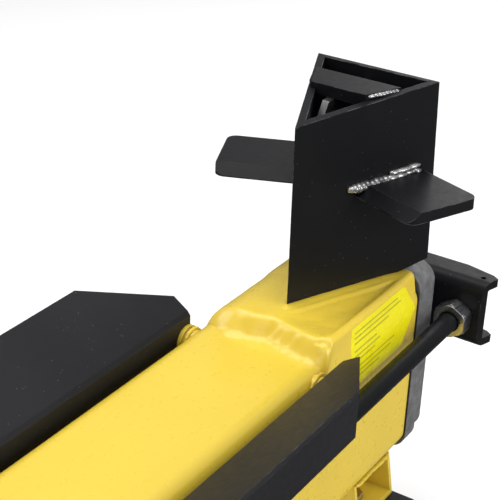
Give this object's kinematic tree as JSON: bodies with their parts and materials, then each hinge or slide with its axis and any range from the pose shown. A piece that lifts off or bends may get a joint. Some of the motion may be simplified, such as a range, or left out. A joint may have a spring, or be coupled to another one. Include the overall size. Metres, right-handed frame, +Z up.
{
  "type": "log splitter",
  "caption": "Horizontal electric hydraulic log splitter: pusher on a box beam, driven by a cylinder and tie rods towards a winged wedge, with log trays, stand, wheels and handle.",
  "frame": {"origin": "On the floor, under the middle of the overall length, on the centre line.", "axes": "+X along the beam from the motor to the wedge, +Y to the left when looking that way, +Z up."},
  "size_m": [1.123, 0.261, 0.5003],
  "materials": {
    "yellow_paint": "gloss paint",
    "black_paint": "satin paint",
    "grey_black_paint": "satin paint",
    "zinc": "bright zinc",
    "cast_cover": "rough cast, grey paint",
    "gasket": "matt",
    "rubber": "matt",
    "chrome": "hard chrome",
    "steel": "machined",
    "seal_polymer": "matt",
    "red_plastic": "moulded",
    "green_plastic": "moulded",
    "black_plastic": "moulded",
    "motor_paint": "satin paint",
    "winding": "enamelled copper",
    "capacitor_can": "drawn can",
    "wheel_plastic": "moulded",
    "tyre": "rubber"
  },
  "bodies": {
    "machine": {"beam_tube": "yellow_paint", "saddle": "yellow_paint", "tray_bosses": "yellow_paint", "leg_bracket": "yellow_paint", "foot_stand": "black_paint", "foot_pads": "rubber", "foot_bolts": "zinc", "wedge_sides": "black_paint", "wedge_back": "black_paint", "wedge_brace": "black_paint", "wedge_rib": "black_paint", "wing_left": "black_paint", "wing_right": "black_paint", "end_gasket": "gasket", "end_cover": "cast_cover", "body_screws": "zinc", "rod_seal": "gasket", "barrel": "steel", "tray_left": "grey_black_paint", "tray_right": "grey_black_paint", "tray_bolts": "zinc", "pump_gasket": "gasket", "pump_body": "cast_cover", "lever_pin": "zinc", "lever_guard": "yellow_paint", "oil_dipstick": "black_plastic", "motor_housing": "motor_paint", "rear_shield": "motor_paint", "stator": "winding", "fan_cover": "motor_paint", "switch_box": "black_plastic", "inlet_plug": "black_plastic", "capacitor": "capacitor_can", "axle": "zinc", "axle_bracket": "yellow_paint", "axle_caps": "zinc", "handle": "black_paint"},
    "ram": {"piston": "steel", "piston_seals": "seal_polymer", "piston_rod": "chrome", "rod_nut": "zinc", "yoke": "black_paint", "tie_rods": "black_paint", "tie_nuts": "zinc", "pusher_plate": "black_paint", "pusher_carriage": "black_paint"},
    "motor_rotor": {"rotor": "steel", "motor_fan": "black_plastic", "drive_gear": "steel"},
    "pump_gear": {"driven_gear": "steel"},
    "lever": {"control_lever": "black_paint", "lever_knob": "red_plastic"},
    "spool": {"valve_spool": "chrome"},
    "start": {"start_button": "green_plastic"},
    "stop": {"stop_button": "red_plastic"},
    "bleed": {"bleed_screw": "red_plastic"},
    "left_wheel": {"wheel_left": "wheel_plastic", "tyre_left": "tyre"},
    "right_wheel": {"wheel_right": "wheel_plastic", "tyre_right": "tyre"}
  },
  "joints": [
    {"name": "ram_slide", "type": "slide", "parent": "machine", "child": "ram", "axis": [1, 0, 0], "range_m": [0, 0.39]},
    {"name": "motor_spin", "type": "hinge", "parent": "machine", "child": "motor_rotor", "pos_m": [-0.3985, 0, 0.222], "axis": [1, 0, 0], "continuous": true},
    {"name": "gear_spin", "type": "hinge", "parent": "machine", "child": "pump_gear", "pos_m": [-0.3285, 0, 0.1916], "axis": [1, 0, 0], "continuous": true},
    {"name": "lever_tilt", "type": "hinge", "parent": "machine", "child": "lever", "pos_m": [-0.3205, -0.016, 0.332], "axis": [0, 1, 0], "range_deg": [0, 24], "stiffness_Nm_per_rad": 6, "springref_deg": -8.59},
    {"name": "spool_slide", "type": "slide", "parent": "machine", "child": "spool", "axis": [0, 0, -1], "range_m": [0, 0.0115]},
    {"name": "start_press", "type": "slide", "parent": "machine", "child": "start", "axis": [0, 1, 0], "range_m": [0, 0.003], "stiffness_N_per_m": 800, "springref_m": -0.002},
    {"name": "stop_press", "type": "slide", "parent": "machine", "child": "stop", "axis": [0, 1, 0], "range_m": [0, 0.003], "stiffness_N_per_m": 800, "springref_m": -0.002},
    {"name": "bleed_turn", "type": "hinge", "parent": "machine", "child": "bleed", "pos_m": [-0.3045, 0.06, 0.244], "axis": [0, 1, 0], "range_deg": [-720, 0]},
    {"name": "left_wheel_spin", "type": "hinge", "parent": "machine", "child": "left_wheel", "pos_m": [-0.2445, 0.099, 0.09], "axis": [0, 1, 0], "continuous": true},
    {"name": "right_wheel_spin", "type": "hinge", "parent": "machine", "child": "right_wheel", "pos_m": [-0.2445, -0.099, 0.09], "axis": [0, 1, 0], "continuous": true}
  ],
  "couplings": [
    {"joint": "gear_spin", "follows": "motor_spin", "ratio": -1},
    {"joint": "spool_slide", "follows": "lever_tilt", "m_per_rad": 0.0274}
  ]
}
